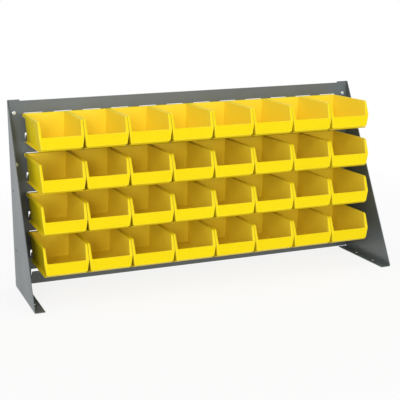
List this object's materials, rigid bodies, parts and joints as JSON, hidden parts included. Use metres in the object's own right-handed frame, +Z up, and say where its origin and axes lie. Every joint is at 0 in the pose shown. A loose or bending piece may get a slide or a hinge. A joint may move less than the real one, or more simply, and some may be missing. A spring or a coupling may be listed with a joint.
{
  "type": "bench bin rack",
  "caption": "Bench-top rack of louvred sheet steel on two triangular bent-sheet legs, hung with rows of lift-off hopper-front plastic bins for small parts",
  "frame": {"origin": "middle of the rack's footprint on the bench, at bench level", "axes": "X across the rack, -Y out of the open front of the bins, Z up"},
  "size_m": [0.914, 0.2346, 0.457],
  "materials": {
    "grey_paint": "smooth powder coat, low sheen",
    "zinc": "bright zinc plate",
    "yellow_plastic": "moulded, satin outside with a light gloss"
  },
  "bodies": {
    "rack": {"louvre_panel": "grey_paint", "louvre_tongues": "grey_paint", "left_leg": "grey_paint", "right_leg": "grey_paint", "panel_bolts": "zinc", "panel_nuts": "zinc"},
    "bin_row1_col1": {"bin_row1_col1": "yellow_plastic"},
    "bin_row1_col2": {"bin_row1_col2": "yellow_plastic"},
    "bin_row1_col3": {"bin_row1_col3": "yellow_plastic"},
    "bin_row1_col4": {"bin_row1_col4": "yellow_plastic"},
    "bin_row1_col5": {"bin_row1_col5": "yellow_plastic"},
    "bin_row1_col6": {"bin_row1_col6": "yellow_plastic"},
    "bin_row1_col7": {"bin_row1_col7": "yellow_plastic"},
    "bin_row1_col8": {"bin_row1_col8": "yellow_plastic"},
    "bin_row2_col1": {"bin_row2_col1": "yellow_plastic"},
    "bin_row2_col2": {"bin_row2_col2": "yellow_plastic"},
    "bin_row2_col3": {"bin_row2_col3": "yellow_plastic"},
    "bin_row2_col4": {"bin_row2_col4": "yellow_plastic"},
    "bin_row2_col5": {"bin_row2_col5": "yellow_plastic"},
    "bin_row2_col6": {"bin_row2_col6": "yellow_plastic"},
    "bin_row2_col7": {"bin_row2_col7": "yellow_plastic"},
    "bin_row2_col8": {"bin_row2_col8": "yellow_plastic"},
    "bin_row3_col1": {"bin_row3_col1": "yellow_plastic"},
    "bin_row3_col2": {"bin_row3_col2": "yellow_plastic"},
    "bin_row3_col3": {"bin_row3_col3": "yellow_plastic"},
    "bin_row3_col4": {"bin_row3_col4": "yellow_plastic"},
    "bin_row3_col5": {"bin_row3_col5": "yellow_plastic"},
    "bin_row3_col6": {"bin_row3_col6": "yellow_plastic"},
    "bin_row3_col7": {"bin_row3_col7": "yellow_plastic"},
    "bin_row3_col8": {"bin_row3_col8": "yellow_plastic"},
    "bin_row4_col1": {"bin_row4_col1": "yellow_plastic"},
    "bin_row4_col2": {"bin_row4_col2": "yellow_plastic"},
    "bin_row4_col3": {"bin_row4_col3": "yellow_plastic"},
    "bin_row4_col4": {"bin_row4_col4": "yellow_plastic"},
    "bin_row4_col5": {"bin_row4_col5": "yellow_plastic"},
    "bin_row4_col6": {"bin_row4_col6": "yellow_plastic"},
    "bin_row4_col7": {"bin_row4_col7": "yellow_plastic"},
    "bin_row4_col8": {"bin_row4_col8": "yellow_plastic"}
  },
  "joints": [
    {"name": "lift_row1_col1", "type": "slide", "parent": "rack", "child": "bin_row1_col1", "axis": [0, 0, 1], "range_m": [0, 0.02]},
    {"name": "lift_row1_col2", "type": "slide", "parent": "rack", "child": "bin_row1_col2", "axis": [0, 0, 1], "range_m": [0, 0.02]},
    {"name": "lift_row1_col3", "type": "slide", "parent": "rack", "child": "bin_row1_col3", "axis": [0, 0, 1], "range_m": [0, 0.02]},
    {"name": "lift_row1_col4", "type": "slide", "parent": "rack", "child": "bin_row1_col4", "axis": [0, 0, 1], "range_m": [0, 0.02]},
    {"name": "lift_row1_col5", "type": "slide", "parent": "rack", "child": "bin_row1_col5", "axis": [0, 0, 1], "range_m": [0, 0.02]},
    {"name": "lift_row1_col6", "type": "slide", "parent": "rack", "child": "bin_row1_col6", "axis": [0, 0, 1], "range_m": [0, 0.02]},
    {"name": "lift_row1_col7", "type": "slide", "parent": "rack", "child": "bin_row1_col7", "axis": [0, 0, 1], "range_m": [0, 0.02]},
    {"name": "lift_row1_col8", "type": "slide", "parent": "rack", "child": "bin_row1_col8", "axis": [0, 0, 1], "range_m": [0, 0.02]},
    {"name": "lift_row2_col1", "type": "slide", "parent": "rack", "child": "bin_row2_col1", "axis": [0, 0, 1], "range_m": [0, 0.02]},
    {"name": "lift_row2_col2", "type": "slide", "parent": "rack", "child": "bin_row2_col2", "axis": [0, 0, 1], "range_m": [0, 0.02]},
    {"name": "lift_row2_col3", "type": "slide", "parent": "rack", "child": "bin_row2_col3", "axis": [0, 0, 1], "range_m": [0, 0.02]},
    {"name": "lift_row2_col4", "type": "slide", "parent": "rack", "child": "bin_row2_col4", "axis": [0, 0, 1], "range_m": [0, 0.02]},
    {"name": "lift_row2_col5", "type": "slide", "parent": "rack", "child": "bin_row2_col5", "axis": [0, 0, 1], "range_m": [0, 0.02]},
    {"name": "lift_row2_col6", "type": "slide", "parent": "rack", "child": "bin_row2_col6", "axis": [0, 0, 1], "range_m": [0, 0.02]},
    {"name": "lift_row2_col7", "type": "slide", "parent": "rack", "child": "bin_row2_col7", "axis": [0, 0, 1], "range_m": [0, 0.02]},
    {"name": "lift_row2_col8", "type": "slide", "parent": "rack", "child": "bin_row2_col8", "axis": [0, 0, 1], "range_m": [0, 0.02]},
    {"name": "lift_row3_col1", "type": "slide", "parent": "rack", "child": "bin_row3_col1", "axis": [0, 0, 1], "range_m": [0, 0.02]},
    {"name": "lift_row3_col2", "type": "slide", "parent": "rack", "child": "bin_row3_col2", "axis": [0, 0, 1], "range_m": [0, 0.02]},
    {"name": "lift_row3_col3", "type": "slide", "parent": "rack", "child": "bin_row3_col3", "axis": [0, 0, 1], "range_m": [0, 0.02]},
    {"name": "lift_row3_col4", "type": "slide", "parent": "rack", "child": "bin_row3_col4", "axis": [0, 0, 1], "range_m": [0, 0.02]},
    {"name": "lift_row3_col5", "type": "slide", "parent": "rack", "child": "bin_row3_col5", "axis": [0, 0, 1], "range_m": [0, 0.02]},
    {"name": "lift_row3_col6", "type": "slide", "parent": "rack", "child": "bin_row3_col6", "axis": [0, 0, 1], "range_m": [0, 0.02]},
    {"name": "lift_row3_col7", "type": "slide", "parent": "rack", "child": "bin_row3_col7", "axis": [0, 0, 1], "range_m": [0, 0.02]},
    {"name": "lift_row3_col8", "type": "slide", "parent": "rack", "child": "bin_row3_col8", "axis": [0, 0, 1], "range_m": [0, 0.02]},
    {"name": "lift_row4_col1", "type": "slide", "parent": "rack", "child": "bin_row4_col1", "axis": [0, 0, 1], "range_m": [0, 0.02]},
    {"name": "lift_row4_col2", "type": "slide", "parent": "rack", "child": "bin_row4_col2", "axis": [0, 0, 1], "range_m": [0, 0.02]},
    {"name": "lift_row4_col3", "type": "slide", "parent": "rack", "child": "bin_row4_col3", "axis": [0, 0, 1], "range_m": [0, 0.02]},
    {"name": "lift_row4_col4", "type": "slide", "parent": "rack", "child": "bin_row4_col4", "axis": [0, 0, 1], "range_m": [0, 0.02]},
    {"name": "lift_row4_col5", "type": "slide", "parent": "rack", "child": "bin_row4_col5", "axis": [0, 0, 1], "range_m": [0, 0.02]},
    {"name": "lift_row4_col6", "type": "slide", "parent": "rack", "child": "bin_row4_col6", "axis": [0, 0, 1], "range_m": [0, 0.02]},
    {"name": "lift_row4_col7", "type": "slide", "parent": "rack", "child": "bin_row4_col7", "axis": [0, 0, 1], "range_m": [0, 0.02]},
    {"name": "lift_row4_col8", "type": "slide", "parent": "rack", "child": "bin_row4_col8", "axis": [0, 0, 1], "range_m": [0, 0.02]}
  ]
}
